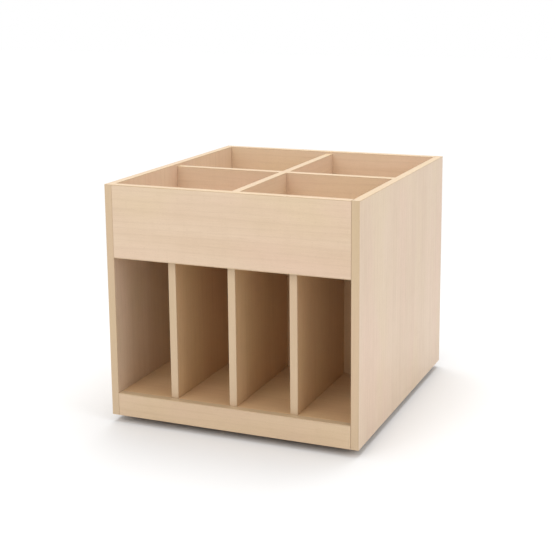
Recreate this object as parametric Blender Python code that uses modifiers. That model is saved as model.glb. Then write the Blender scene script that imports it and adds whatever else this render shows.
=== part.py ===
"""Mobile book display stand: four open book bins over eight upright slots, on four concealed castors.

Metres, +Z up. The origin is on the floor under the middle of the unit, and -Y is the front.
Every board is a piece of its own, dowelled to its neighbours, and each castor swivels and rolls.
"""

import math

import bmesh
import bpy
from mathutils import Matrix, Vector

# Driving sizes of the unit
WIDTH = 0.600
DEPTH = 0.655
PANEL_HEIGHT = 0.540
BOARD = 0.018
FLOOR_GAP = 0.018
APRON_HEIGHT = 0.168
PLINTH_HEIGHT = 0.053
BIN_DIVIDER_DROP = 0.006
SLOTS_PER_SIDE = 4
ARRIS = 0.0008
GAP = 0.0003

# Dowels
DOWEL_RADIUS = 0.004
DOWEL_LENGTH = 0.030
DOWEL_IN_PANEL = 0.0115
DOWEL_SIDES = 12
DOWEL_HOLE_END = 0.0005
APRON_DOWEL_INSET = 0.040
SHELF_DOWEL_SPREAD = 0.200

# Castors, with the wheel's size and the height under the deck as driving values
WHEEL_RADIUS = 0.0175
WHEEL_WIDTH = 0.011
WHEEL_STEPS = 28
WHEEL_SHOULDER = 0.0012
WHEEL_DISH = 0.003
DISH_SLOPE = 0.0008
HUB_WALL = 0.0025
RIM_WALL = 0.004
TRAIL = 0.015
CASTOR_INSET_X = 0.078
CASTOR_INSET_Y = 0.088
PLATE_SIZE = 0.038
PLATE_THICKNESS = 0.002
PLATE_CORNER = 0.004
SCREW_SPACING = 0.028
SCREW_HOLE_RADIUS = 0.0022
KINGPIN_RADIUS = 0.003
SWIVEL_CLEARANCE = 0.001
BOSS_RADIUS = 0.008
BOSS_DEPTH = 0.026
SOCKET_DEPTH = 0.009
WEB = 0.005
HOOD_THICKNESS = 0.0023
WHEEL_CLEARANCE = 0.0012
WHEEL_SIDE_GAP = 0.0005
HOUSING_FOOT = 0.0065
AXLE_RADIUS = 0.0025
CURVE_SIDES = 20
HOOD_SIDES = 40
PAST = 0.010
CRISP_ANGLE_DEG = 35

# Heights and faces that follow from them
PANEL_TOP = FLOOR_GAP + PANEL_HEIGHT
DECK_TOP = FLOOR_GAP + PLINTH_HEIGHT
DECK_UNDER = DECK_TOP - BOARD
APRON_BOTTOM = PANEL_TOP - APRON_HEIGHT
BIN_FLOOR_TOP = APRON_BOTTOM + BOARD
BIN_DIVIDER_TOP = PANEL_TOP - BIN_DIVIDER_DROP
INNER_X = WIDTH / 2 - BOARD
FRONT = -DEPTH / 2
INNER_Y = DEPTH / 2 - BOARD
PLATE_TOP = DECK_UNDER - GAP
HOUSING_TOP = PLATE_TOP - PLATE_THICKNESS - SWIVEL_CLEARANCE
HOOD_RADIUS = WHEEL_RADIUS + WHEEL_CLEARANCE + HOOD_THICKNESS
HOUSING_WIDTH = WEB + 2 * (WHEEL_SIDE_GAP + WHEEL_WIDTH)

PARTS = bpy.data.collections.new("book_display_stand")
CUTTERS = bpy.data.collections.new("cutters")


def clear_scene():
    for thing in list(bpy.data.objects):
        bpy.data.objects.remove(thing, do_unlink=True)
    bpy.context.scene.collection.children.link(PARTS)
    bpy.context.scene.collection.children.link(CUTTERS)


def material(name, colour, roughness, metallic=0.0):
    """A Principled material in one colour."""
    made = bpy.data.materials.new(name)
    made.use_nodes = True
    shader = made.node_tree.nodes["Principled BSDF"]
    shader.inputs["Base Color"].default_value = (*colour, 1.0)
    shader.inputs["Roughness"].default_value = roughness
    shader.inputs["Metallic"].default_value = metallic
    return made


def file_under(thing, name, collection):
    """Names an object and moves it into one collection."""
    thing.name = name
    for old in list(thing.users_collection):
        old.objects.unlink(thing)
    collection.objects.link(thing)
    return thing


def as_cutter(thing, name):
    """Files a helper shape with the cutters, which aren't part of the unit."""
    file_under(thing, name, CUTTERS)
    thing.hide_render = True
    thing.display_type = "WIRE"
    return thing


def box(low, high):
    """A box between two corners, with its scale in the mesh."""
    low, high = Vector(low), Vector(high)
    bpy.ops.mesh.primitive_cube_add(size=1.0, location=(low + high) / 2)
    made = bpy.context.object
    made.data.transform(Matrix.Diagonal((*(high - low), 1.0)))
    return made


def cylinder(centre, radius, length, axis, sides=CURVE_SIDES):
    """A capped cylinder whose axis is X or Z, with its place in the mesh of an unturned object."""
    mesh = bpy.data.meshes.new("cylinder")
    shape = bmesh.new()
    bmesh.ops.create_cone(
        shape, cap_ends=True, segments=sides, radius1=radius, radius2=radius, depth=length
    )
    turn = Matrix.Rotation(math.pi / 2, 4, "Y") if axis == "X" else Matrix.Identity(4)
    bmesh.ops.transform(shape, matrix=turn, verts=shape.verts)
    shape.to_mesh(mesh)
    shape.free()
    made = bpy.data.objects.new("cylinder", mesh)
    made.location = centre
    bpy.context.scene.collection.objects.link(made)
    return made


def joined(things):
    """One object that holds the meshes of several separate shapes, for use as one cutter."""
    bpy.ops.object.select_all(action="DESELECT")
    for thing in things:
        thing.select_set(True)
    bpy.context.view_layer.objects.active = things[0]
    bpy.ops.object.join()
    return things[0]


def boolean(thing, other, operation):
    step = thing.modifiers.new(f"{operation.lower()}_{other.name}", "BOOLEAN")
    step.operation = operation
    step.object = other
    step.solver = "EXACT"


def dress(thing, finish):
    thing.data.materials.clear()
    thing.data.materials.append(finish)
    return thing


def smooth(mesh):
    """Round faces shade smooth, and edges sharper than the crisp angle stay crisp."""
    mesh.shade_smooth()
    mesh.set_sharp_from_angle(angle=math.radians(CRISP_ANGLE_DEG))


def board(name, low, high, finish):
    """A board with eased arrises."""
    made = file_under(box(low, high), name, PARTS)
    eased = made.modifiers.new("eased_arris", "BEVEL")
    eased.width = ARRIS
    eased.segments = 1
    return dress(made, finish)


def side_panels(finish):
    made = {}
    for side, sign in (("left", -1), ("right", 1)):
        faces = sorted((sign * INNER_X, sign * WIDTH / 2))
        low = (faces[0], FRONT, FLOOR_GAP)
        high = (faces[1], -FRONT, PANEL_TOP)
        made[side] = board(f"{side}_side_panel", low, high, finish)
    return made


def cross_boards(finish):
    """The boards that run from side panel to side panel: aprons, plinths, deck and bin floor."""
    reach = INNER_X - GAP
    made = {}
    for end, sign in (("front", -1), ("rear", 1)):
        near, far = sorted((sign * DEPTH / 2, sign * INNER_Y))
        low, high = (-reach, near, APRON_BOTTOM), (reach, far, PANEL_TOP)
        made[f"{end}_apron"] = board(f"{end}_apron", low, high, finish)
        low, high = (-reach, near, FLOOR_GAP), (reach, far, DECK_TOP)
        made[f"{end}_plinth"] = board(f"{end}_plinth", low, high, finish)
    run = INNER_Y - GAP
    low, high = (-reach, -run, DECK_UNDER), (reach, run, DECK_TOP)
    made["deck"] = board("deck", low, high, finish)
    low, high = (-reach, -run, APRON_BOTTOM), (reach, run, BIN_FLOOR_TOP)
    made["bin_floor"] = board("bin_floor", low, high, finish)
    return made


def slot_boards(finish):
    """The spine between the front and rear slots, and the upright dividers on both sides of it."""
    low_z, high_z = DECK_TOP + GAP, APRON_BOTTOM - GAP
    reach = INNER_X - GAP
    board("spine", (-reach, -BOARD / 2, low_z), (reach, BOARD / 2, high_z), finish)
    pitch = (2 * INNER_X + BOARD) / SLOTS_PER_SIDE
    for end, sign in (("front", -1), ("rear", 1)):
        near, far = sorted((sign * INNER_Y, sign * (BOARD / 2 + GAP)))
        for number in range(1, SLOTS_PER_SIDE):
            x = -INNER_X - BOARD / 2 + number * pitch
            low, high = (x - BOARD / 2, near, low_z), (x + BOARD / 2, far, high_z)
            board(f"{end}_slot_divider_{number}", low, high, finish)


def bin_dividers(finish):
    """Two boards that cross in a halved joint: one is notched from above, the other from below."""
    low_z, high_z = BIN_FLOOR_TOP + GAP, BIN_DIVIDER_TOP
    half = BOARD / 2
    run, reach = INNER_Y - GAP, INNER_X - GAP
    long_one = board("bin_divider_long", (-half, -run, low_z), (half, run, high_z), finish)
    cross_one = board("bin_divider_cross", (-reach, -half, low_z), (reach, half, high_z), finish)
    middle = (low_z + high_z) / 2
    notch = half + GAP
    upper = box((-half - PAST, -notch, middle - GAP / 2), (half + PAST, notch, high_z + PAST))
    lower = box((-notch, -half - PAST, low_z - PAST), (notch, half + PAST, middle + GAP / 2))
    boolean(long_one, as_cutter(upper, "notch_from_above"), "DIFFERENCE")
    boolean(cross_one, as_cutter(lower, "notch_from_below"), "DIFFERENCE")


def dowel_places():
    """(board, number, y, z) of each dowel, the same at both ends of its board."""
    for end, sign in (("front", -1), ("rear", 1)):
        y = sign * (INNER_Y + BOARD / 2)
        yield f"{end}_apron", 1, y, APRON_BOTTOM + APRON_DOWEL_INSET
        yield f"{end}_apron", 2, y, PANEL_TOP - APRON_DOWEL_INSET
        yield f"{end}_plinth", 1, y, FLOOR_GAP + PLINTH_HEIGHT / 2
    for name, under in (("deck", DECK_UNDER), ("bin_floor", APRON_BOTTOM)):
        yield name, 1, -SHELF_DOWEL_SPREAD, under + BOARD / 2
        yield name, 2, SHELF_DOWEL_SPREAD, under + BOARD / 2


def dowels(finish):
    """Dowels across each board's ends, and the cutter for all their holes."""
    holes = []
    middle = INNER_X + DOWEL_IN_PANEL - DOWEL_LENGTH / 2
    for name, number, y, z in dowel_places():
        for side, sign in (("left", -1), ("right", 1)):
            centre = (sign * middle, y, z)
            dowel = cylinder(centre, DOWEL_RADIUS, DOWEL_LENGTH, "X", DOWEL_SIDES)
            file_under(dowel, f"dowel_{name}_{side}_{number}", PARTS)
            smooth(dress(dowel, finish).data)
            length = DOWEL_LENGTH + 2 * DOWEL_HOLE_END
            holes.append(cylinder(centre, DOWEL_RADIUS + GAP, length, "X", DOWEL_SIDES))
    return as_cutter(joined(holes), "dowel_holes")


def wheel_profile():
    """Radius and offset from the wheel's inner side: bore, dished outer face, rounded tread."""
    bore = AXLE_RADIUS + GAP
    hub = AXLE_RADIUS + HUB_WALL
    rim = WHEEL_RADIUS - RIM_WALL
    dish = WHEEL_WIDTH - WHEEL_DISH
    return [
        (bore, WHEEL_WIDTH),
        (hub, WHEEL_WIDTH),
        (hub + DISH_SLOPE, dish),
        (rim - DISH_SLOPE, dish),
        (rim, WHEEL_WIDTH),
        (WHEEL_RADIUS - WHEEL_SHOULDER, WHEEL_WIDTH),
        (WHEEL_RADIUS, WHEEL_WIDTH - WHEEL_SHOULDER),
        (WHEEL_RADIUS, WHEEL_SHOULDER),
        (WHEEL_RADIUS - WHEEL_SHOULDER, 0.0),
        (bore, 0.0),
    ]


def wheel_mesh():
    """A wheel turned about X, with its axis through the origin and its inner side at x = 0."""
    mesh = bpy.data.meshes.new("castor_wheel")
    shape = bmesh.new()
    rows = [shape.verts.new((offset, 0.0, -radius)) for radius, offset in wheel_profile()]
    for start, end in zip(rows, rows[1:] + rows[:1]):
        shape.edges.new((start, end))
    bmesh.ops.spin(
        shape,
        geom=shape.verts[:] + shape.edges[:],
        cent=(0.0, 0.0, 0.0),
        axis=(1.0, 0.0, 0.0),
        angle=2 * math.pi,
        steps=WHEEL_STEPS,
        use_merge=True,
        use_duplicate=False,
    )
    bmesh.ops.remove_doubles(shape, verts=shape.verts, dist=1e-6)
    bmesh.ops.recalc_face_normals(shape, faces=shape.faces)
    shape.to_mesh(mesh)
    shape.free()
    return mesh


def castor_plate(name, x, y, finish):
    """Square plate with four screw holes and the kingpin riveted into it."""
    half = PLATE_SIZE / 2
    low = (x - half, y - half, PLATE_TOP - PLATE_THICKNESS)
    plate = file_under(box(low, (x + half, y + half, PLATE_TOP)), f"{name}_plate", PARTS)
    corners = plate.modifiers.new("round_corners", "BEVEL")
    corners.width = PLATE_CORNER
    corners.segments = 3
    corners.limit_method = "WEIGHT"
    weights = plate.data.attributes.new("bevel_weight_edge", "FLOAT", "EDGE")
    for edge, weight in zip(plate.data.edges, weights.data):
        ends = [plate.data.vertices[index].co for index in edge.vertices]
        weight.value = 1.0 if abs(ends[0].z - ends[1].z) > PLATE_THICKNESS / 2 else 0.0
    pin_foot = HOUSING_TOP - SOCKET_DEPTH + GAP
    pin_length = PLATE_TOP - PLATE_THICKNESS / 2 - pin_foot
    pin = cylinder((x, y, pin_foot + pin_length / 2), KINGPIN_RADIUS, pin_length, "Z")
    boolean(plate, as_cutter(pin, f"{name}_kingpin"), "UNION")
    spread = SCREW_SPACING / 2
    holes = [
        cylinder((x + across, y + along, PLATE_TOP), SCREW_HOLE_RADIUS, PAST, "Z", DOWEL_SIDES)
        for across in (-spread, spread)
        for along in (-spread, spread)
    ]
    boolean(plate, as_cutter(joined(holes), f"{name}_screw_holes"), "DIFFERENCE")
    return dress(plate, finish)


def castor_housing(name, x, y, finish):
    """Nylon body: a web that carries the axle, a hood over both wheels and a boss round the kingpin."""
    axle = Vector((x, y + TRAIL, WHEEL_RADIUS))
    housing = cylinder(axle, HOOD_RADIUS, HOUSING_WIDTH, "X", HOOD_SIDES)
    file_under(housing, f"{name}_housing", PARTS)
    boss_centre = (x, y, HOUSING_TOP - BOSS_DEPTH / 2)
    boss = cylinder(boss_centre, BOSS_RADIUS, BOSS_DEPTH, "Z")
    boolean(housing, as_cutter(boss, f"{name}_boss"), "UNION")
    chamber = WHEEL_WIDTH + WHEEL_SIDE_GAP + PAST
    offset = Vector((WEB / 2 + chamber / 2, 0.0, 0.0))
    chamber_radius = WHEEL_RADIUS + WHEEL_CLEARANCE
    chambers = [
        cylinder(axle + sign * offset, chamber_radius, chamber, "X", HOOD_SIDES)
        for sign in (-1, 1)
    ]
    boolean(housing, as_cutter(joined(chambers), f"{name}_wheel_chambers"), "DIFFERENCE")
    reach = HOOD_RADIUS + PAST
    below = box(
        (x - reach, axle.y - reach, -reach), (x + reach, axle.y + reach, WHEEL_RADIUS - HOUSING_FOOT)
    )
    boolean(housing, as_cutter(below, f"{name}_open_foot"), "DIFFERENCE")
    behind = box(
        (x - reach, axle.y + 2 * AXLE_RADIUS, -reach), (x + reach, axle.y + reach, 2 * reach)
    )
    boolean(housing, as_cutter(behind, f"{name}_open_back"), "DIFFERENCE")
    bore = cylinder(axle, AXLE_RADIUS + GAP, HOUSING_WIDTH, "X")
    boolean(housing, as_cutter(bore, f"{name}_axle_bore"), "DIFFERENCE")
    socket_centre = (x, y, HOUSING_TOP)
    socket = cylinder(socket_centre, KINGPIN_RADIUS + GAP, 2 * SOCKET_DEPTH, "Z")
    boolean(housing, as_cutter(socket, f"{name}_kingpin_socket"), "DIFFERENCE")
    smooth(housing.data)
    return dress(housing, finish)


def castor(name, x, y, wheel, finishes):
    """One castor: plate, housing, axle and two wheels, with the swivel's and the axle's empties."""
    castor_plate(name, x, y, finishes["steel"])
    swivel = file_under(bpy.data.objects.new("swivel", None), f"{name}_swivel", PARTS)
    swivel.location = (x, y, HOUSING_TOP)
    turning = file_under(bpy.data.objects.new("turning", None), f"{name}_rolling", PARTS)
    turning.parent = swivel
    turning.location = (0.0, TRAIL, WHEEL_RADIUS - HOUSING_TOP)
    housing = castor_housing(name, x, y, finishes["nylon"])
    bpy.context.view_layer.update()
    housing.parent = swivel
    housing.matrix_parent_inverse = swivel.matrix_world.inverted()
    axle = cylinder((0.0, 0.0, 0.0), AXLE_RADIUS, HOUSING_WIDTH, "X")
    file_under(axle, f"{name}_axle", PARTS)
    smooth(dress(axle, finishes["steel"]).data)
    axle.parent = turning
    for side, sign in (("left", -1), ("right", 1)):
        copy = bpy.data.objects.new("wheel", wheel)
        file_under(copy, f"{name}_wheel_{side}", PARTS)
        copy.parent = turning
        copy.location = (sign * (WEB / 2 + WHEEL_SIDE_GAP), 0.0, 0.0)
        copy.rotation_euler = (0.0, 0.0, 0.0 if sign > 0 else math.pi)


def build():
    clear_scene()
    laminate = material("maple_laminate", (0.72, 0.56, 0.40), 0.45)
    beech = material("beech_dowel", (0.62, 0.42, 0.25), 0.6)
    steel = material("zinc_plated_steel", (0.62, 0.63, 0.65), 0.35, 1.0)
    nylon = material("black_nylon", (0.02, 0.02, 0.022), 0.5)
    tread = material("grey_wheel", (0.10, 0.10, 0.11), 0.6)
    panels = side_panels(laminate)
    cross = cross_boards(laminate)
    slot_boards(laminate)
    bin_dividers(laminate)
    holes = dowels(beech)
    for drilled in (*panels.values(), *cross.values()):
        boolean(drilled, holes, "DIFFERENCE")
    wheel = wheel_mesh()
    wheel.materials.append(tread)
    smooth(wheel)
    for end, along in (("front", -1), ("rear", 1)):
        for side, across in (("left", -1), ("right", 1)):
            x = across * (WIDTH / 2 - CASTOR_INSET_X)
            y = along * (DEPTH / 2 - CASTOR_INSET_Y)
            castor(f"castor_{end}_{side}", x, y, wheel, {"steel": steel, "nylon": nylon})


build()
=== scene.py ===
"""Looks of the mobile book display stand: pale maple laminate boards with banded edges, on concealed castors.

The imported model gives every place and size. Each board is made again as a core with eased arrises and
separate edge bands, so that the joint between laminate and band shows, and the castors get moulded
wheels, treads and screws. All pieces are in metres, with +Z up and -Y at the front.
"""

import logging
import math
from dataclasses import dataclass, field, replace
from enum import Enum

import bpy
import numpy as np
from mathutils import Matrix, Vector


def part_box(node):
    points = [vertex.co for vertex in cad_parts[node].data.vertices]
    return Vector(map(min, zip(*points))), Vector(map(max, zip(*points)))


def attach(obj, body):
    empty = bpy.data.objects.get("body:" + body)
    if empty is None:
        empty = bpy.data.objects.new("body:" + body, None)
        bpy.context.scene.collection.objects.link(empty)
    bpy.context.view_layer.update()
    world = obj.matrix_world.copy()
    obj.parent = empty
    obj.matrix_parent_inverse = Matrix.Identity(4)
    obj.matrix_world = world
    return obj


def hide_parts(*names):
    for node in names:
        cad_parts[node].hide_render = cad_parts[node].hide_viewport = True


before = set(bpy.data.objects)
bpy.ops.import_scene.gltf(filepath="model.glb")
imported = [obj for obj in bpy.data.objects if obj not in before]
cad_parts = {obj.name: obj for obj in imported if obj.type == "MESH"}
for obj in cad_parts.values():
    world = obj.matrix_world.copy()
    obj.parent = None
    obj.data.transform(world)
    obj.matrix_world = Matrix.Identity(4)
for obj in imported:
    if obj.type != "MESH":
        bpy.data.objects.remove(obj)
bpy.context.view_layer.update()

log = logging.getLogger("book_display_stand")

GRAIN_MAP = "grain"
CASE = "case"
# Shifts of the figure, in metres: for each cut, each axis faced and each sense, and of v for each metre of u
CUT_SHIFT, AXIS_SHIFT, SENSE_SHIFT, ACROSS_SHIFT = 0.37, 1.13, 0.59, 0.71
# What the cuts of the edge bands are numbered above those of their boards
BAND_CUTS = 40
# Points of a quarter round, and how square to an axis a face is if it is shaded flat
ROUND_POINTS = 5
SQUARE = 0.9999
WHITE = (1.0, 1.0, 1.0, 1.0)
Colour = tuple[float, float, float]
Span = tuple[float, float]


class Axis(Enum):
    """A world axis, by its place in a coordinate triple."""

    X = 0
    Y = 1
    Z = 2


class Edge(Enum):
    """An edge of an upright board, as the axis it faces along and the sense in which it faces."""

    FRONT = (1, -1)
    REAR = (1, 1)
    TOP = (2, 1)
    BOTTOM = (2, -1)


class Place(Enum):
    """Where a board sits, which settles its laminate; the slot boards and the plinths wear darker copies of it
    as painted shade.
    """

    OUTER = "outer"
    # Slot boards: a darker, more saturated laminate, painted shade for the dim slots.
    SLOTS = "slots"
    # Plinths: a darker, yellower laminate, painted shade for the dimmer light near the floor.
    PLINTH = "plinth"


# ---------------------------------------------------------------- surfaces


@dataclass(frozen=True)
class Skin:
    """A closed surface: points as an (n, 3) array, four-sided faces and any many-sided end faces."""

    points: np.ndarray
    quads: np.ndarray
    ends: tuple[tuple[int, ...], ...] = ()

    def laid(self, axes: tuple[int, int, int], origin: np.ndarray) -> "Skin":
        """The same skin with its three local axes laid along world axes.

        Args:
            axes: The world axis of each local column, in right-handed order.
            origin: World place of the local origin.

        Returns:
            The skin in world coordinates.
        """
        world = np.empty_like(self.points)
        world[:, list(axes)] = self.points
        return Skin(world + origin, self.quads, self.ends)


def grid_quads(rows: int, columns: int, rows_close: bool) -> np.ndarray:
    """Four-sided faces of a grid whose columns close on themselves.

    The face of row r and column c joins points (r, c), (r, c+1), (r+1, c+1) and (r+1, c).

    Args:
        rows: Number of rows of points.
        columns: Number of points in each row, which is a closed loop.
        rows_close: Whether the last row joins the first.

    Returns:
        An (n, 4) array of point indices.
    """
    row = np.arange(rows if rows_close else rows - 1)[:, None]
    column = np.arange(columns)[None, :]
    after, beside = (row + 1) % rows, (column + 1) % columns
    corners = (row * columns + column, row * columns + beside, after * columns + beside)
    return np.stack([*corners, after * columns + column], axis=-1).reshape(-1, 4)


def drawn_in(outline: np.ndarray, distance: np.ndarray) -> np.ndarray:
    """A closed outline moved inwards by each of several distances, with mitred corners.

    Each corner moves along the sum of its two inward edge normals, divided by one plus their dot product,
    which keeps both edges at the same distance from where they were.

    Args:
        outline: (n, 2) points, anticlockwise.
        distance: The distances, one for each row wanted.

    Returns:
        An array of shape (distances, n, 2).
    """
    ahead = np.roll(outline, -1, axis=0) - outline
    ahead /= np.linalg.norm(ahead, axis=1, keepdims=True)
    normal_after = np.column_stack([-ahead[:, 1], ahead[:, 0]])
    normal_before = np.roll(normal_after, 1, axis=0)
    turn = 1.0 + (normal_after * normal_before).sum(axis=1, keepdims=True)
    mitre = (normal_after + normal_before) / turn
    return outline[None] + distance[:, None, None] * mitre[None]


def slab(outline: np.ndarray, depth: float, arris: float, steps: int = 3) -> Skin:
    """A flat outline given thickness, with a rounded arris round both faces.

    Row k of the surface is the outline drawn in by arris * (1 - sin a) at the height arris * (1 - cos a),
    for angles a from 0 to a quarter turn. The rows repeat in mirror image at the far face.

    Args:
        outline: (n, 2) points, anticlockwise.
        depth: Thickness along the third local axis.
        arris: Radius of the rounding.
        steps: Steps in each quarter round.

    Returns:
        A closed skin that starts at height zero.
    """
    angle = np.linspace(0.0, math.pi / 2, steps + 1)
    inset = arris * (1.0 - np.sin(angle))
    height = arris * (1.0 - np.cos(angle))
    rows = drawn_in(outline, np.concatenate([inset, inset[::-1]]))
    heights = np.concatenate([height, depth - height[::-1]])
    count = len(outline)
    lifted = np.broadcast_to(heights[:, None, None], (len(heights), count, 1))
    points = np.concatenate([rows, lifted], axis=2).reshape(-1, 3)
    quads = grid_quads(len(heights), count, rows_close=False)
    last = (len(heights) - 1) * count
    ends = (tuple(range(count - 1, -1, -1)), tuple(range(last, last + count)))
    return Skin(points, quads, ends)


def rounded_rectangle(low: np.ndarray, high: np.ndarray, radii: tuple[float, ...]) -> np.ndarray:
    """A rectangle whose corners are quarter rounds.

    Each corner's points are its centre plus the radius times (cos a, sin a), for a quarter turn of a.

    Args:
        low: Lowest corner, two numbers.
        high: Highest corner, two numbers.
        radii: Corner radii in the order low-low, high-low, high-high, low-high.

    Returns:
        (n, 2) points, anticlockwise from the low-low corner.
    """
    signs = np.array([[-1, -1], [1, -1], [1, 1], [-1, 1]], float)
    corners = np.where(signs > 0, high, low)
    radius = np.array(radii)[:, None]
    start = np.array([1.0, 1.5, 0.0, 0.5])[:, None] * math.pi
    angle = start + np.linspace(0.0, math.pi / 2, ROUND_POINTS)[None, :]
    arcs = np.stack([np.cos(angle), np.sin(angle)], axis=-1) * radius[..., None]
    return ((corners - signs * radius)[:, None, :] + arcs).reshape(-1, 2)


def turned(profile: np.ndarray, steps: int) -> Skin:
    """A closed profile turned about the local third axis.

    The point of profile (radius, height) at angle a is (radius * cos a, radius * sin a, height).

    Args:
        profile: (n, 2) radius and height, closed, anticlockwise with radius to the right.
        steps: Steps round the turn.

    Returns:
        A ring-shaped closed skin.
    """
    angle = np.linspace(0.0, 2 * math.pi, steps, endpoint=False)[:, None]
    radius, height = profile[None, :, 0], profile[None, :, 1]
    across = np.broadcast_to(height, (steps, len(profile)))
    points = np.stack([radius * np.cos(angle), radius * np.sin(angle), across], axis=-1)
    quads = grid_quads(steps, len(profile), rows_close=True)
    return Skin(points.reshape(-1, 3), quads[:, ::-1])


# ---------------------------------------------------------------- pieces


def grain_coordinates(mesh: bpy.types.Mesh, grain: Axis, cut: int) -> None:
    """Writes the map in which the wood figure is read, in metres, u along the grain and v across it.

    Each face reads the two coordinates of the plane it lies nearest to. Where the grain axis isn't in that
    plane, as on a board's ends, u is the plane's longer side. Each cut and each facing gets its own shift, so
    that no two boards and no two faces show the same stretch of figure.

    Args:
        mesh: The mesh to map.
        grain: The axis along which the figure runs.
        cut: Number of the piece, which chooses its stretch of figure.
    """
    places = np.empty(len(mesh.vertices) * 3)
    mesh.vertices.foreach_get("co", places)
    places = places.reshape(-1, 3)
    normals = np.empty(len(mesh.polygons) * 3)
    mesh.polygons.foreach_get("normal", normals)
    normals = normals.reshape(-1, 3)
    totals = np.empty(len(mesh.polygons), np.int32)
    mesh.polygons.foreach_get("loop_total", totals)
    corner_points = np.empty(len(mesh.loops), np.int32)
    mesh.loops.foreach_get("vertex_index", corner_points)
    facing = np.abs(normals).argmax(axis=1)
    spread = np.ptp(places, axis=0)
    along = np.full(3, grain.value)
    first, second = (grain.value + 1) % 3, (grain.value + 2) % 3
    along[grain.value] = first if spread[first] > spread[second] else second
    across = 3 - np.arange(3) - along
    sense = np.sign(normals[np.arange(len(facing)), facing])
    facing_corner, sense_corner = np.repeat(facing, totals), np.repeat(sense, totals)
    corners = places[corner_points]
    index = np.arange(len(corners))
    shift = CUT_SHIFT * cut + AXIS_SHIFT * facing_corner + SENSE_SHIFT * sense_corner
    u = corners[index, along[facing_corner]] + shift
    v = corners[index, across[facing_corner]] + ACROSS_SHIFT * shift
    layer = mesh.uv_layers.new(name=GRAIN_MAP)
    layer.data.foreach_set("uv", np.column_stack([u, v]).ravel())


def new_piece(name: str, skin: Skin, finish: bpy.types.Material, body: str) -> bpy.types.Object:
    """Makes a piece of the object from a skin, finishes it and hangs it on its body.

    Faces square to an axis are shaded flat, and the rounds between them smooth.

    Args:
        name: Name of the piece.
        skin: Its surface, in world coordinates.
        finish: The material that it wears.
        body: The CAD body that it moves with.

    Returns:
        The new object, at the origin.
    """
    mesh = bpy.data.meshes.new(name)
    mesh.from_pydata(skin.points, [], [*skin.quads.tolist(), *skin.ends])
    mesh.update()
    normals = np.empty(len(mesh.polygons) * 3)
    mesh.polygons.foreach_get("normal", normals)
    flat = np.abs(normals).reshape(-1, 3).max(axis=1) > SQUARE
    mesh.polygons.foreach_set("use_smooth", ~flat)
    mesh.materials.append(finish)
    piece = bpy.data.objects.new(name, mesh)
    bpy.context.scene.collection.objects.link(piece)
    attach(piece, body)
    log.info("%s: %d points, %d faces", name, len(mesh.vertices), len(mesh.polygons))
    return piece


def dress_node(node: str, finish: bpy.types.Material) -> None:
    """Gives a carried-over CAD node its finish.

    Args:
        node: The node's name.
        finish: The material to put in its slots.
    """
    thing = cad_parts[node]
    thing.data.materials.clear()
    thing.data.materials.append(finish)
    log.info("%s: dressed as %s", node, finish.name)


# ---------------------------------------------------------------- finishes


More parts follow.
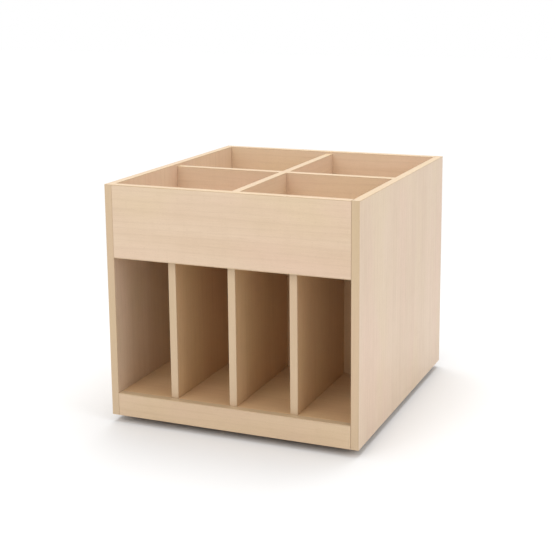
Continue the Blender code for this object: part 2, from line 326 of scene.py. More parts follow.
class Shader:
    """A material's node tree around one Principled shader, with short ways to add and join nodes."""

    def __init__(self, name: str) -> None:
        """Starts a material.

        Args:
            name: The material's name.
        """
        self.material = bpy.data.materials.new(name)
        self.material.use_nodes = True
        self.tree = self.material.node_tree
        self.surface = self.tree.nodes["Principled BSDF"]

    def add(self, kind: str, inputs: dict | None = None, **settings: object) -> bpy.types.Node:
        """Adds a node.

        Args:
            kind: The node's type, as in ShaderNodeTexNoise without its first ten letters.
            inputs: Values or sockets for its inputs, by name or number.
            **settings: Its properties.

        Returns:
            The node.
        """
        node = self.tree.nodes.new(f"ShaderNode{kind}")
        for key, value in settings.items():
            setattr(node, key, value)
        for key, value in (inputs or {}).items():
            if isinstance(value, bpy.types.NodeSocket):
                self.tree.links.new(value, node.inputs[key])
            else:
                node.inputs[key].default_value = value
        return node

    def fixed(self, **values: float) -> None:
        """Sets sockets of the surface that are the same all over.

        Args:
            **values: Socket names with underscores for spaces, and their values.
        """
        for key, value in values.items():
            self.surface.inputs[key.replace("_", " ")].default_value = value

    def drive(self, name: str, socket: bpy.types.NodeSocket) -> None:
        """Joins a socket to one of the surface's inputs.

        Args:
            name: The input's name.
            socket: What drives it.
        """
        self.tree.links.new(socket, self.surface.inputs[name])

    def grain(self, along: float, across: float) -> bpy.types.NodeSocket:
        """The piece's grain map, stretched.

        Args:
            along: Repeats in each metre along the grain.
            across: Repeats in each metre across it.

        Returns:
            A vector socket.
        """
        place = self.add("UVMap", uv_map=GRAIN_MAP)
        scaled = self.add("Mapping", {"Vector": place.outputs["UV"], "Scale": (along, across, 1.0)})
        return scaled.outputs["Vector"]

    def space(self, scale: tuple[float, float, float]) -> bpy.types.NodeSocket:
        """The piece's object coordinates, stretched.

        Args:
            scale: Repeats in each metre along X, Y and Z.

        Returns:
            A vector socket.
        """
        place = self.add("TexCoord")
        scaled = self.add("Mapping", {"Vector": place.outputs["Object"], "Scale": scale})
        return scaled.outputs["Vector"]

    def noise(
        self, where: bpy.types.NodeSocket, detail: float, roughness: float = 0.5, bend: float = 0.0
    ) -> bpy.types.NodeSocket:
        """Cloudy noise with features one unit wide.

        Args:
            where: Coordinates.
            detail: Octaves.
            roughness: Strength of the fine octaves.
            bend: Distortion.

        Returns:
            A value socket around one half.
        """
        inputs = {"Vector": where, "Scale": 1.0, "Detail": detail, "Roughness": roughness}
        return self.add("TexNoise", {**inputs, "Distortion": bend}).outputs["Fac"]

    def spread(self, value: bpy.types.NodeSocket, low: Span, high: Span) -> bpy.types.NodeSocket:
        """A value moved from one span to another, and held inside it.

        Args:
            value: The value.
            low: The span that it comes in.
            high: The span that it goes to.

        Returns:
            A value socket.
        """
        inputs = {"Value": value, 1: low[0], 2: low[1], 3: high[0], 4: high[1]}
        return self.add("MapRange", inputs, clamp=True).outputs["Result"]

    def blend(self, share: bpy.types.NodeSocket, under: object, over: object) -> bpy.types.NodeSocket:
        """Two colours mixed.

        Args:
            share: How much of the second shows.
            under: First colour, as a socket or a triple.
            over: Second colour.

        Returns:
            A colour socket.
        """
        node = self.add("Mix", {0: share}, data_type="RGBA")
        for number, colour in ((6, under), (7, over)):
            if isinstance(colour, bpy.types.NodeSocket):
                self.tree.links.new(colour, node.inputs[number])
            else:
                node.inputs[number].default_value = (*colour, 1.0)
        return node.outputs[2]

    def sum(self, terms: list[tuple[bpy.types.NodeSocket, float]]) -> bpy.types.NodeSocket:
        """A weighted sum of values.

        Args:
            terms: Each value with its weight.

        Returns:
            A value socket.
        """
        total = None
        for value, weight in terms:
            inputs = {0: value, 1: weight, 2: 0.0 if total is None else total}
            total = self.add("Math", inputs, operation="MULTIPLY_ADD").outputs[0]
        return total

    def relief(self, height: bpy.types.NodeSocket, depth: float) -> None:
        """Gives the surface a fine relief.

        Args:
            height: Height, from 0 to 1.
            depth: What a height of 1 stands for, in metres.
        """
        bump = self.add("Bump", {"Height": height, "Strength": 1.0, "Distance": depth})
        self.drive("Normal", bump.outputs["Normal"])


@dataclass(frozen=True)
class MapleLaminate:
    """Pale maple decor on board: broad soft bands, scattered streaks, faint arcs and short pores."""

    name: str = "maple_laminate"
    pale: Colour = (0.700, 0.540, 0.393)
    deep: Colour = (0.615, 0.445, 0.303)
    blush: Colour = (0.700, 0.500, 0.375)
    straw: Colour = (0.670, 0.523, 0.340)
    ring: Colour = (0.43, 0.285, 0.165)
    figure: float = 1.0
    gloss: Span = (0.30, 0.42)

    def material(self) -> bpy.types.Material:
        """Builds the finish.

        Broad bands along the grain run from pale to deep, and slow patches turn them pinkish or straw
        coloured. Streaks, arcs and pores then darken them. The streaks come and go with a patchy noise, so
        they don't cover the board evenly, and a faint mottle runs across the grain.

        Returns:
            The material.
        """
        shader = Shader(self.name)
        bands = shader.noise(shader.grain(1.1, 13.0), 3.0, 0.55, 0.4)
        warm = shader.noise(shader.grain(2.3, 6.0), 2.0, 0.5, 0.2)
        cool = shader.noise(shader.grain(2.9, 7.3), 2.0, 0.5, 0.2)
        mottle = shader.noise(shader.grain(38.0, 17.0), 2.0, 0.5, 0.6)
        patches = shader.noise(shader.grain(3.5, 21.0), 1.0)
        streaks = shader.noise(shader.grain(4.0, 105.0), 5.0, 0.62, 0.2)
        fibres = shader.noise(shader.grain(17.0, 760.0), 3.0, 0.6, 0.1)
        pores = shader.noise(shader.grain(140.0, 2100.0), 1.0)
        colour = shader.blend(shader.spread(bands, (0.32, 0.68), (0.0, 0.75)), self.pale, self.deep)
        colour = shader.blend(shader.spread(warm, (0.46, 0.66), (0.0, 0.60)), colour, self.blush)
        colour = shader.blend(shader.spread(cool, (0.48, 0.68), (0.0, 0.60)), colour, self.straw)
        patch = shader.spread(patches, (0.40, 0.68), (0.02, 0.22))
        line = shader.spread(streaks, (0.50, 0.72), (0.0, 1.0))
        share = shader.add("Math", {0: line, 1: patch}, operation="MULTIPLY").outputs[0]
        for layer, limits, strength in (
            (mottle, (0.45, 0.70), 0.05),
            (self.arcs(shader), (0.78, 1.0), 0.09),
            (share, (0.0, 1.0), 1.0),
            (fibres, (0.42, 0.72), 0.16),
            (pores, (0.64, 0.71), 0.42),
        ):
            darkening = shader.spread(layer, limits, (0.0, strength * self.figure))
            colour = shader.blend(darkening, colour, self.ring)
        shader.drive("Base Color", colour)
        shader.drive("Roughness", shader.spread(fibres, (0.3, 0.7), self.gloss))
        shader.fixed(IOR=1.5, Specular_IOR_Level=0.55)
        shader.relief(shader.sum([(streaks, 0.3), (fibres, 0.4), (pores, 0.3)]), 0.00006)
        return shader.material

    def toned(self, name: str, factors: Colour) -> "MapleLaminate":
        """The same decor with every colour scaled, as for a darker copy that paints shade.

        Args:
            name: The copy's name.
            factors: What its red, green and blue are multiplied by.

        Returns:
            The finish, with every colour of the figure toned alike.
        """
        colours = {}
        for part in ("pale", "deep", "blush", "straw", "ring"):
            colours[part] = tuple(value * factor for value, factor in zip(getattr(self, part), factors))
        return replace(self, name=name, **colours)

    def arcs(self, shader: Shader) -> bpy.types.NodeSocket:
        """Growth rings: a wave across the grain, pulled into long arcs by its distortion.

        Args:
            shader: The tree to add to.

        Returns:
            The wave's height, from 0 to 1 at its crests.
        """
        inputs = {"Vector": shader.grain(1.3, 17.0), "Scale": 1.0, "Distortion": 11.0}
        inputs.update({"Detail": 2.0, "Detail Scale": 0.6, "Detail Roughness": 0.5})
        return shader.add("TexWave", inputs, bands_direction="Y").outputs["Fac"]


@dataclass(frozen=True)
class Beech:
    """Raw beech of a dowel: pinkish brown with short dark rays."""

    name: str = "beech_dowel"
    light: Colour = (0.60, 0.40, 0.25)
    dark: Colour = (0.42, 0.25, 0.14)

    def material(self) -> bpy.types.Material:
        """Builds the finish from noise stretched along the dowel, which lies along X.

        Returns:
            The material.
        """
        shader = Shader(self.name)
        rays = shader.noise(shader.space((60.0, 900.0, 900.0)), 3.0, 0.6)
        shader.drive("Base Color", shader.blend(rays, self.light, self.dark))
        shader.drive("Roughness", shader.spread(rays, (0.3, 0.7), (0.62, 0.78)))
        shader.relief(rays, 0.0001)
        return shader.material


@dataclass(frozen=True)
class ZincPlate:
    """Bright zinc plate on pressed or turned steel: a faint spangle, and rolling marks one way."""

    name: str = "zinc_plate"
    bright: Colour = (0.72, 0.73, 0.76)
    dull: Colour = (0.50, 0.52, 0.56)

    def material(self) -> bpy.types.Material:
        """Builds the finish from a cloudy tone and fine marks along Y.

        Returns:
            The material.
        """
        shader = Shader(self.name)
        spangle = shader.noise(shader.space((220.0, 220.0, 220.0)), 2.0)
        marks = shader.noise(shader.space((2600.0, 90.0, 900.0)), 3.0, 0.6)
        shader.drive("Base Color", shader.blend(spangle, self.bright, self.dull))
        shader.drive("Roughness", shader.spread(marks, (0.25, 0.75), (0.24, 0.42)))
        shader.fixed(Metallic=1.0)
        shader.relief(marks, 0.00002)
        return shader.material


@dataclass(frozen=True)
class MouldedPlastic:
    """Moulded nylon or rubber: a fine spark-eroded grain over a slightly uneven tone."""

    name: str
    base: Colour
    worn: Colour
    gloss: Span
    grain: float

    def material(self) -> bpy.types.Material:
        """Builds the finish from two noises of the space around the piece.

        Returns:
            The material.
        """
        shader = Shader(self.name)
        cloud = shader.noise(shader.space((160.0, 160.0, 160.0)), 3.0, 0.55)
        grain = shader.noise(shader.space((2400.0, 2400.0, 2400.0)), 2.0)
        tone = shader.spread(cloud, (0.45, 0.8), (0.0, 0.8))
        shader.drive("Base Color", shader.blend(tone, self.base, self.worn))
        shader.drive("Roughness", shader.spread(cloud, (0.3, 0.7), self.gloss))
        shader.relief(grain, self.grain)
        return shader.material


@dataclass(frozen=True)
class StudioFloor:
    """The plain pale floor, which brightens outwards into the white surround."""

    name: str = "studio_floor"
    tone: Colour = (0.787, 0.787, 0.787)
    clear_radius: float = 0.8
    faded_radius: float = 1.8

    def material(self) -> bpy.types.Material:
        """Builds the finish: matt near the unit, turning to plain white light with distance from it.

        Returns:
            The material.
        """
        shader = Shader(self.name)
        shader.fixed(Roughness=0.85, Specular_IOR_Level=0.1)
        shader.surface.inputs["Emission Color"].default_value = WHITE
        place = shader.space((1.0, 1.0, 1.0))
        distance = shader.add("VectorMath", {0: place}, operation="LENGTH").outputs["Value"]
        faded = shader.spread(distance, (self.clear_radius, self.faded_radius), (0.0, 1.0))
        shader.drive("Emission Strength", faded)
        shader.drive("Base Color", shader.blend(faded, self.tone, (0.0, 0.0, 0.0)))
        return shader.material


@dataclass(frozen=True)
class Finishes:
    """Every finish of the unit, made once and shared."""

    laminates: dict[Place, bpy.types.Material]
    band: bpy.types.Material
    dowel: bpy.types.Material
    steel: bpy.types.Material
    nylon: bpy.types.Material
    tread: bpy.types.Material

    @classmethod
    def made(cls) -> "Finishes":
        """Makes all the materials.

        Returns:
            The set.
        """
        # The slot boards' laminate: a darker, more saturated copy of the face, painted shade for the dim
        # slots.
        inner = MapleLaminate(
            name="maple_laminate_slots_painted_shade",
            pale=(0.680, 0.468, 0.268),
            deep=(0.605, 0.393, 0.209),
            blush=(0.680, 0.438, 0.251),
            straw=(0.655, 0.460, 0.241),
            ring=(0.43, 0.255, 0.125),
        )
        band = MapleLaminate(
            name="maple_edge_band",
            pale=(0.602, 0.453, 0.293),
            deep=(0.532, 0.385, 0.238),
            blush=(0.595, 0.425, 0.277),
            straw=(0.580, 0.436, 0.262),
            ring=(0.38, 0.250, 0.140),
            figure=0.7,
            gloss=(0.30, 0.40),
        )
        face = MapleLaminate()
        # The plinths' laminate: the face toned darker and yellower, painted shade for the dimmer light near
        # the floor.
        plinth = face.toned("maple_laminate_plinth_painted_shade", (0.945, 0.91, 0.86))
        nylon = MouldedPlastic(
            name="black_nylon",
            base=(0.014, 0.014, 0.015),
            worn=(0.030, 0.030, 0.031),
            gloss=(0.40, 0.55),
            grain=0.00002,
        )
        tread = MouldedPlastic(
            name="grey_tread",
            base=(0.085, 0.086, 0.090),
            worn=(0.13, 0.13, 0.13),
            gloss=(0.55, 0.75),
            grain=0.00004,
        )
        laminates = {Place.OUTER: face, Place.SLOTS: inner, Place.PLINTH: plinth}
        return cls(
            laminates={place: laminate.material() for place, laminate in laminates.items()},
            band=band.material(),
            dowel=Beech().material(),
            steel=ZincPlate().material(),
            nylon=nylon.material(),
            tread=tread.material(),
        )


# ---------------------------------------------------------------- boards


@dataclass
class Board:
    """One board of the unit: a laminated core with a separate band along each exposed edge."""

    node: str
    grain: Axis
    banded: tuple[Edge, ...]
    cut: int
    place: Place = Place.OUTER
    notch: Edge | None = None
    band_depth: float = 0.002
    band_round: float = 0.0011
    joint: float = 0.00005
    core_arris: float = 0.0002
    notch_clearance: float = 0.0003
    low: np.ndarray = field(init=False)
    high: np.ndarray = field(init=False)
    thin: int = field(init=False)

    def __post_init__(self) -> None:
        """Reads the board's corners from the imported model, and which way it is thin."""
        low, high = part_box(self.node)
        self.low, self.high = np.array(low), np.array(high)
        self.thin = int((self.high - self.low).argmin())

    def build(self, finishes: Finishes) -> None:
        """Makes the core and its bands in place of the CAD node.

        Args:
            finishes: The unit's finishes.
        """
        core_low, core_high = self.low.copy(), self.high.copy()
        for edge in self.banded:
            axis, sense = edge.value
            face = core_high if sense > 0 else core_low
            face[axis] -= sense * (self.band_depth + self.joint)
        core = self.core(core_low, core_high)
        piece = new_piece(f"{self.node}_core", core, finishes.laminates[self.place], CASE)
        grain_coordinates(piece.data, self.grain, self.cut)
        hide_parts(self.node)
        for edge in self.banded:
            for number, (start, end) in enumerate(self.band_runs(edge, core_low, core_high)):
                self.band(edge, number, start, end, finishes)

    def core(self, low: np.ndarray, high: np.ndarray) -> Skin:
        """The core: a rectangle, notched if the board is halved over another, given its thickness.

        Args:
            low: Lowest corner of the core.
            high: Highest corner.

        Returns:
            Its skin.
        """
        axes = ((self.thin + 1) % 3, (self.thin + 2) % 3)
        corners = [(low, low), (high, low), (high, high), (low, high)]
        outline = np.array([[a[axes[0]], b[axes[1]]] for a, b in corners])
        if self.notch:
            outline = self.notched(outline, axes)
        skin = slab(outline, high[self.thin] - low[self.thin], self.core_arris, steps=2)
        origin = np.zeros(3)
        origin[self.thin] = low[self.thin]
        return skin.laid((*axes, self.thin), origin)

    def notched(self, outline: np.ndarray, axes: tuple[int, int]) -> np.ndarray:
        """The rectangle with a slot from its top or bottom edge to half height, in the middle of its length.

        Args:
            outline: The rectangle, anticlockwise in the two axes.
            axes: The two world axes of the outline.

        Returns:
            The outline with four more points.
        """
        upright = axes.index(Axis.Z.value)
        length = 1 - upright
        edge_height = outline[:, upright].max() if self.notch is Edge.TOP else outline[:, upright].min()
        half = (self.high[self.thin] - self.low[self.thin]) / 2 + self.notch_clearance
        middle = (self.low[Axis.Z.value] + self.high[Axis.Z.value]) / 2
        mouth = np.array([[-half, edge_height], [-half, middle], [half, middle], [half, edge_height]])
        on_edge = np.isclose(outline[:, upright], edge_height)
        first = int(np.flatnonzero(on_edge & np.roll(on_edge, -1))[0])
        if outline[first, length] > 0:
            mouth = mouth[::-1]
        slot = mouth if length == 0 else mouth[:, ::-1]
        return np.insert(outline, first + 1, slot, axis=0)

    def band_runs(self, edge: Edge, low: np.ndarray, high: np.ndarray) -> list[tuple[float, float]]:
        """Where the band along an edge starts and ends, in one run or on both sides of a notch.

        An upright band runs the board's whole height, and a level one fits between the upright ones.

        Args:
            edge: The banded edge.
            low: Lowest corner of the core.
            high: Highest corner of the core.

        Returns:
            Start and end of each run.
        """
        run = 3 - self.thin - edge.value[0]
        whole = (self.low, self.high) if run == Axis.Z.value else (low, high)
        start, end = whole[0][run], whole[1][run]
        if run == Axis.Z.value:
            return [(start, end)]
        upright = [other for other in self.banded if other.value[0] == run]
        start += self.joint if any(other.value[1] < 0 for other in upright) else 0.0
        end -= self.joint if any(other.value[1] > 0 for other in upright) else 0.0
        if self.notch is edge:
            half = (self.high[self.thin] - self.low[self.thin]) / 2 + self.notch_clearance
            return [(start, -half), (half, end)]
        return [(start, end)]

    def band(self, edge: Edge, number: int, start: float, end: float, finishes: Finishes) -> None:
        """One edge band: a thin strip with its two outer arrises rounded.

        Args:
            edge: The edge it covers.
            number: Number of the run along that edge.
            start: Where it starts along its length.
            end: Where it ends.
            finishes: The unit's finishes.
        """
        axis, sense = edge.value
        run = 3 - self.thin - axis
        low, high = self.low.copy(), self.high.copy()
        low[run], high[run] = start, end
        if sense > 0:
            low[axis] = high[axis] - self.band_depth
        else:
            high[axis] = low[axis] + self.band_depth
        section = ((run + 1) % 3, (run + 2) % 3)
        position = section.index(axis)
        outer = np.array([[-1, -1], [1, -1], [1, 1], [-1, 1]])[:, position] == sense
        radii = tuple(np.where(outer, self.band_round, self.core_arris))
        outline = rounded_rectangle(low[list(section)], high[list(section)], radii)
        origin = np.zeros(3)
        origin[run] = start
        skin = slab(outline, end - start, self.core_arris / 2, steps=2).laid((*section, run), origin)
        name = f"{self.node}_{edge.name.lower()}_band" + (f"_{number + 1}" if self.notch is edge else "")
        piece = new_piece(name, skin, finishes.band, CASE)
        grain_coordinates(piece.data, Axis(run), self.cut + BAND_CUTS + number)


@dataclass
class Carcass:
    """Side panels, aprons, plinths, deck and bin floor."""

    upright_edges: tuple[Edge, ...] = (Edge.FRONT, Edge.REAR, Edge.TOP)

    def build(self, finishes: Finishes) -> None:
        """Makes every board of the carcass.

        Args:
            finishes: The unit's finishes.
        """
        boards = [
            Board("left_side_panel", Axis.Z, self.upright_edges, cut=1),
            Board("right_side_panel", Axis.Z, self.upright_edges, cut=2),
            Board("front_apron", Axis.X, (Edge.TOP, Edge.BOTTOM), cut=3),
            Board("rear_apron", Axis.X, (Edge.TOP, Edge.BOTTOM), cut=4),
            # The plinths wear the darker plinth laminate: painted shade.
            Board("front_plinth", Axis.X, (Edge.TOP,), cut=5, place=Place.PLINTH),
            Board("rear_plinth", Axis.X, (Edge.TOP,), cut=6, place=Place.PLINTH),
            # The deck wears the darker slot laminate: painted shade.
            Board("deck", Axis.X, (), cut=7, place=Place.SLOTS),
            Board("bin_floor", Axis.X, (), cut=8),
        ]
        for board in boards:
            board.build(finishes)


@dataclass
class SlotBank:
    """The spine, and the upright slot dividers on both sides of it."""

    dividers_per_side: int = 3

    def build(self, finishes: Finishes) -> None:
        """Makes the spine and the dividers.

        Args:
            finishes: The unit's finishes.
        """
        # The spine and slot dividers wear the darker slot laminate: painted shade.
        Board("spine", Axis.Z, (), cut=9, place=Place.SLOTS).build(finishes)
        for side, edge, first_cut in (("front", Edge.FRONT, 10), ("rear", Edge.REAR, 14)):
            for number in range(1, self.dividers_per_side + 1):
                node = f"{side}_slot_divider_{number}"
                Board(node, Axis.Z, (edge,), cut=first_cut + number, place=Place.SLOTS).build(finishes)


@dataclass
class BinCross:
    """The two bin dividers, halved over each other in the middle of the unit."""

    def build(self, finishes: Finishes) -> None:
        """Makes both dividers.

        Args:
            finishes: The unit's finishes.
        """
        Board("bin_divider_long", Axis.Y, (Edge.TOP,), cut=18, notch=Edge.TOP).build(finishes)
        Board("bin_divider_cross", Axis.X, (Edge.TOP,), cut=19, notch=Edge.BOTTOM).build(finishes)


@dataclass
class DowelSet:
    """The dowels in the ends of the boards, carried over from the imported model."""

    def build(self, finishes: Finishes) -> None:
        """Dresses every dowel.

        Args:
            finishes: The unit's finishes.
        """
        for node in sorted(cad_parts):
            if node.startswith("dowel_"):
                dress_node(node, finishes.dowel)


# ---------------------------------------------------------------- castors


@dataclass
class CastorWheel:
    """One castor wheel: a nylon core with a dished face and raised hub, and a soft grey tread round it."""

    node: str
    body: str
    tread_depth: float = 0.003
    tread_round: float = 0.0016
    tread_joint: float = 0.00005
    inner_round: float = 0.0002
    bore: float = 0.0028
    hub_radius: float = 0.0055
    hub_rise: float = 0.0004
    hub_slope: float = 0.0008
    hub_shoulder: float = 0.0002
    face_setback: float = 0.0004
    lip: float = 0.0016
    lip_slope: float = 0.0008
    dish: float = 0.0028
    swell: float = 0.0005
    arris: float = 0.0003
    steps: int = 64

    def build(self, finishes: Finishes) -> None:
        """Makes core and tread in place of the CAD node.

        Args:
            finishes: The unit's finishes.
        """
        low, high = (np.array(corner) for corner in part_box(self.node))
        radius = (high[2] - low[2]) / 2
        width = high[0] - low[0]
        outwards = 1 if self.node.endswith("right") else -1
        inner_face = low[0] if outwards > 0 else high[0]
        centre = np.array([inner_face, (low[1] + high[1]) / 2, (low[2] + high[2]) / 2])
        core = turned(self.core_profile(radius - self.tread_depth, width), self.steps)
        ring = turned(self.tread_profile(radius, width), self.steps)
        for part, skin, finish, slot in (
            ("core", core, finishes.nylon, "nylon"),
            ("tread", ring, finishes.tread, "wheel"),
        ):
            stood = self.stood(skin, outwards, centre)
            piece = new_piece(f"{self.node}_{part}", stood, finish, self.body)
            if part == "core":
                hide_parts(self.node)

    def stood(self, skin: Skin, outwards: int, centre: np.ndarray) -> Skin:
        """Stands the turned skin up, with its axis along X and its face outwards.

        Args:
            skin: The skin, turned about its third axis.
            outwards: 1 if the wheel faces +X, and -1 if it faces -X.
            centre: World place of the local origin.

        Returns:
            The skin in world coordinates.
        """
        upright = skin.points[:, [2, 0, 1]] * np.array([outwards, 1.0, 1.0])
        quads = skin.quads if outwards > 0 else skin.quads[:, ::-1]
        return Skin(upright + centre, quads)

    def core_profile(self, rim: float, width: float) -> np.ndarray:
        """Bore, hub, dished web and rim of the core.

        Args:
            rim: Outer radius of the core.
            width: Width of the wheel.

        Returns:
            (n, 2) radius and offset from the inner face, anticlockwise.
        """
        face = width - self.face_setback
        floor, top = face - self.dish, face + self.hub_rise
        lip, arris, hub = rim - self.lip, self.arris, self.hub_radius
        web_out, web_in = lip - self.lip_slope, hub + self.hub_slope
        share = np.linspace(0.0, 1.0, 7)[1:-1]
        radius = web_out + (web_in - web_out) * share
        web = np.column_stack([radius, floor - self.swell * np.sin(math.pi * share)])
        lead = [(self.bore, 0.0), (rim - arris, 0.0), (rim, arris), (rim, face - arris), (rim - arris, face)]
        into = [(lip, face), (lip - self.lip_slope / 2, face - self.lip_slope / 2), (web_out, floor)]
        out = [(web_in, floor), (hub + arris, face - self.hub_shoulder), (hub - arris, top)]
        return np.array([*lead, *into, *web.tolist(), *out, (self.bore + arris, top), (self.bore, face)])

    def tread_profile(self, radius: float, width: float) -> np.ndarray:
        """The tread: a ring with rounded shoulders.

        Args:
            radius: Outer radius.
            width: Width of the wheel.

        Returns:
            (n, 2) radius and offset, anticlockwise.
        """
        inner = radius - self.tread_depth + self.tread_joint
        soft, sharp = self.tread_round, self.inner_round
        low, high = np.array([inner, 0.0]), np.array([radius, width])
        return rounded_rectangle(low, high, (sharp, soft, soft, sharp))


@dataclass
class PanScrew:
    """A pan-head screw with a cross recess, under a castor plate."""

    head_radius: float = 0.0036
    head_height: float = 0.0022
    recess_depth: float = 0.0012
    recess_width: float = 0.00055
    recess_reach: float = 0.0020
    wall_slope: float = 0.0002
    end_slope: float = 0.0004
    first_ring: float = 0.06
    rings: int = 14
    steps: int = 48

    def skin(self, x: float, y: float, seat: float) -> Skin:
        """The head as a surface of radius share s and angle a, facing down.

        Its drop below the seat is the height times (1 - s^4)^(1/2), less the recess depth where the point is
        within the recess's width of either arm's middle line and inside its reach. The outermost ring lies on
        the seat, and the seat side is closed by a flat end.

        Args:
            x: Place of the screw.
            y: Place of the screw.
            seat: Height of the plate's underside.

        Returns:
            A closed skin.
        """
        share = np.sin(np.linspace(self.first_ring, math.pi / 2, self.rings))[:, None]
        angle = np.linspace(0.0, 2 * math.pi, self.steps, endpoint=False)[None, :]
        across = self.head_radius * share * np.cos(angle)
        along = self.head_radius * share * np.sin(angle)
        arm = np.minimum(np.abs(across), np.abs(along))
        reach = np.maximum(np.abs(across), np.abs(along))
        inside = np.clip((self.recess_width - arm) / self.wall_slope + 0.5, 0.0, 1.0)
        inside *= np.clip((self.recess_reach - reach) / self.end_slope + 0.5, 0.0, 1.0)
        dome = self.head_height * np.sqrt(np.clip(1.0 - share**4, 0.0, 1.0))
        drop = dome - self.recess_depth * inside
        points = np.stack([x + across, y + along, seat - drop], axis=-1).reshape(-1, 3)
        last = (self.rings - 1) * self.steps
        ends = (tuple(range(self.steps - 1, -1, -1)), tuple(range(last, last + self.steps)))
        return Skin(points, grid_quads(self.rings, self.steps, rows_close=False), ends)


@dataclass
class Castor:
    """A twin-wheel castor: plate, housing and axle carried over, with new wheels and its four screws."""

    name: str
    screw_spacing: float = 0.028
    plate_thickness: float = 0.002
    screw: PanScrew = field(default_factory=PanScrew)

    def build(self, finishes: Finishes) -> None:
        """Dresses the carried-over nodes, and makes the wheels and screws.

        Args:
            finishes: The unit's finishes.
        """
        dress_node(f"{self.name}_plate", finishes.steel)
        dress_node(f"{self.name}_housing", finishes.nylon)
        dress_node(f"{self.name}_axle", finishes.steel)
        for side in ("left", "right"):
            CastorWheel(f"{self.name}_wheel_{side}", f"{self.name}_wheels").build(finishes)
        self.screws(finishes)

    def screws(self, finishes: Finishes) -> None:
        """Puts a screw in each corner hole of the plate.

        Args:
            finishes: The unit's finishes.
        """
        low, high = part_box(f"{self.name}_plate")
        middle = (low + high) / 2
        seat = high.z - self.plate_thickness
        half = self.screw_spacing / 2
        corners = [(across, along) for across in (-half, half) for along in (-half, half)]
        for number, (across, along) in enumerate(corners, start=1):
            skin = self.screw.skin(middle.x + across, middle.y + along, seat)
            new_piece(f"{self.name}_screw_{number}", skin, finishes.steel, CASE)


@dataclass
class CastorSet:
    """The four castors under the deck."""

    names: tuple[str, ...] = ("front_left", "front_right", "rear_left", "rear_right")

    def build(self, finishes: Finishes) -> None:
        """Builds every castor.

        Args:
            finishes: The unit's finishes.
        """
        for name in self.names:
            Castor(f"castor_{name}").build(finishes)


# ---------------------------------------------------------------- studio


@dataclass(frozen=True)
class SoftBox:
    """A rectangular studio light that faces a point."""

    name: str
    place: tuple[float, float, float]
    target: tuple[float, float, float]
    size: float
    power: float
    colour: Colour = (1.0, 1.0, 1.0)

    def build(self) -> None:
        """Hangs the light and turns it to its target."""
        lamp = bpy.data.lights.new(self.name, "AREA")
        lamp.shape = "SQUARE"
        lamp.size = self.size
        lamp.energy = self.power
        lamp.color = self.colour
        thing = bpy.data.objects.new(self.name, lamp)
        thing.location = self.place
        aim = Vector(self.target) - Vector(self.place)
        thing.rotation_euler = aim.to_track_quat("-Z", "Y").to_euler()
        bpy.context.scene.collection.objects.link(thing)


@dataclass(frozen=True)
class StudioCamera:
    """The camera: a moderate telephoto from the front right, a little above the bins."""

    place: tuple[float, float, float] = (1.0600, -2.5762, 1.0042)
    yaw_deg: float = 22.723
    pitch_deg: float = 11.114
    roll_deg: float = -0.503
    lens_mm: float = 76.75
    sensor_mm: float = 36.0
    shift: float = -0.12

    def build(self) -> None:
        """Sets the camera up as the scene's own.

        Its third axis is the backward direction, from the yaw to the left of +Y and the pitch below level.
        The roll then turns the first two axes about it.
        """
        yaw, pitch, roll = (math.radians(v) for v in (self.yaw_deg, self.pitch_deg, self.roll_deg))
        forward = Vector((-math.sin(yaw) * math.cos(pitch), math.cos(yaw) * math.cos(pitch), -math.sin(pitch)))
        right = Vector((math.cos(yaw), math.sin(yaw), 0.0))
        up = right.cross(forward)
        turned_right = right * math.cos(roll) + up * math.sin(roll)
        turned_up = up * math.cos(roll) - right * math.sin(roll)
        data = bpy.data.cameras.new("studio_camera")
        data.lens, data.sensor_width, data.shift_y = self.lens_mm, self.sensor_mm, self.shift
        data.clip_start, data.clip_end = 0.05, 100.0
        camera = bpy.data.objects.new("studio_camera", data)
        axes = Matrix((turned_right, turned_up, -forward)).transposed().to_4x4()
        camera.matrix_world = Matrix.Translation(self.place) @ axes
        bpy.context.scene.collection.objects.link(camera)
        bpy.context.scene.camera = camera


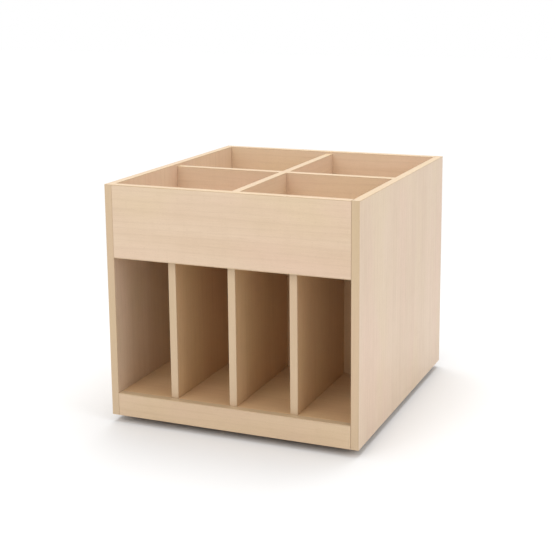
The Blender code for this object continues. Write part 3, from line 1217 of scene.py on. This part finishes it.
@dataclass
class Studio:
    """A plain white studio: floor, even surround, soft lights and the camera."""

    floor_half: float = 12.0
    backdrop: float = 1.0
    fill: float = 0.70
    boxes: tuple[SoftBox, ...] = (
        SoftBox("overhead_box", (0.0, 0.45, 3.0), (0.0, -0.1, 0.3), 2.6, 74.0),
        SoftBox("key_box", (-0.5, -2.7, 2.3), (0.0, 0.0, 0.3), 2.2, 33.5),
        SoftBox("right_box", (2.6, -0.6, 1.9), (0.0, 0.0, 0.3), 2.0, 15.0),
    )

    def build(self) -> None:
        """Lays the floor, lights the scene and sets up the camera."""
        half = self.floor_half
        mesh = bpy.data.meshes.new("studio_floor")
        corners = np.array([[-half, -half, 0.0], [half, -half, 0.0], [half, half, 0.0], [-half, half, 0.0]])
        mesh.from_pydata(corners, [], [(0, 1, 2, 3)])
        mesh.materials.append(StudioFloor().material())
        floor = bpy.data.objects.new("studio_floor", mesh)
        bpy.context.scene.collection.objects.link(floor)
        self.surround()
        bpy.context.scene.view_settings.view_transform = "Standard"
        for box in self.boxes:
            box.build()
        StudioCamera().build()
        log.info("studio: %d lights", len(self.boxes))

    def surround(self) -> None:
        """Makes the surround: white where it is looked at, and a gentle even fill for everything else."""
        world = bpy.data.worlds.new("studio_surround")
        world.use_nodes = True
        nodes, links = world.node_tree.nodes, world.node_tree.links
        background = nodes["Background"]
        background.inputs["Color"].default_value = WHITE
        path = nodes.new("ShaderNodeLightPath")
        strength = nodes.new("ShaderNodeMapRange")
        strength.inputs["To Min"].default_value = self.fill
        strength.inputs["To Max"].default_value = self.backdrop
        links.new(path.outputs["Is Camera Ray"], strength.inputs["Value"])
        links.new(strength.outputs["Result"], background.inputs["Strength"])
        bpy.context.scene.world = world


def main() -> None:
    """Builds the studio, then every sub-assembly of the unit in order."""
    logging.basicConfig(level=logging.INFO, format="%(name)s: %(message)s")
    Studio().build()
    finishes = Finishes.made()
    assemblies = (Carcass(), SlotBank(), BinCross(), DowelSet(), CastorSet())
    for assembly in assemblies:
        log.info("building %s", type(assembly).__name__)
        assembly.build(finishes)


if __name__ == "__main__":
    main()
